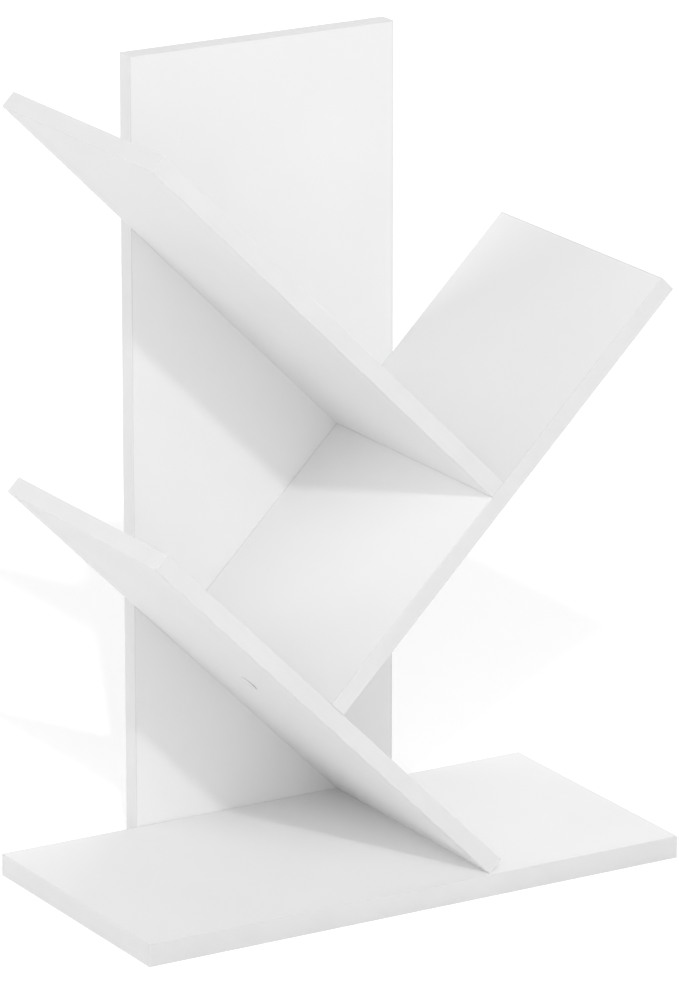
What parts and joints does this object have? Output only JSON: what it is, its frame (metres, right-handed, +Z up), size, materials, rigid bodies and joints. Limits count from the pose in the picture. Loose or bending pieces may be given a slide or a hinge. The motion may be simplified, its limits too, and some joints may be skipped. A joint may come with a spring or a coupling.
{
  "type": "tree shaped bookshelf",
  "caption": "Free-standing desktop bookshelf: a flat base, an upright back panel and sloping shelves that butt on each other like branches, white boards with edging.",
  "frame": {"origin": "on the floor, midway between the two ends and midway between the front edge and the caps on the back", "axes": "+X to the right seen from the front, +Y to the back, +Z up"},
  "size_m": [0.4, 0.2132, 0.54],
  "materials": {
    "melamine_board": "white melamine facing, fine matt grain, over chipboard",
    "edging": "white plastic edging, satin",
    "screw_steel": "zinc plated",
    "screw_cap": "white moulded plastic, satin"
  },
  "bodies": {
    "root": {"base": "melamine_board", "base_edging_front": "edging", "base_edging_back": "edging", "base_edging_left": "edging", "base_edging_right": "edging", "back_panel": "melamine_board", "back_panel_edging_left": "edging", "back_panel_edging_right": "edging", "back_panel_edging_bottom": "edging", "back_panel_edging_top": "edging", "lower_shelf": "melamine_board", "lower_shelf_edging_front": "edging", "lower_shelf_edging_back": "edging", "lower_shelf_edging_top": "edging", "lower_shelf_edging_foot": "edging", "middle_shelf": "melamine_board", "middle_shelf_edging_front": "edging", "middle_shelf_edging_back": "edging", "middle_shelf_edging_top": "edging", "middle_shelf_edging_foot": "edging", "upper_shelf": "melamine_board", "upper_shelf_edging_front": "edging", "upper_shelf_edging_back": "edging", "upper_shelf_edging_top": "edging", "upper_shelf_edging_foot": "edging", "base_left_screw": "screw_steel", "base_right_screw": "screw_steel", "lower_shelf_left_screw": "screw_steel", "lower_shelf_right_screw": "screw_steel", "middle_shelf_left_screw": "screw_steel", "middle_shelf_right_screw": "screw_steel", "upper_shelf_left_screw": "screw_steel", "upper_shelf_right_screw": "screw_steel", "middle_shelf_foot_screw": "screw_steel", "upper_shelf_foot_screw": "screw_steel", "base_left_cap": "screw_cap", "base_right_cap": "screw_cap", "lower_shelf_left_cap": "screw_cap", "lower_shelf_right_cap": "screw_cap", "middle_shelf_left_cap": "screw_cap", "middle_shelf_right_cap": "screw_cap", "upper_shelf_left_cap": "screw_cap", "upper_shelf_right_cap": "screw_cap", "middle_shelf_foot_cap": "screw_cap", "upper_shelf_foot_cap": "screw_cap"}
  },
  "joints": []
}
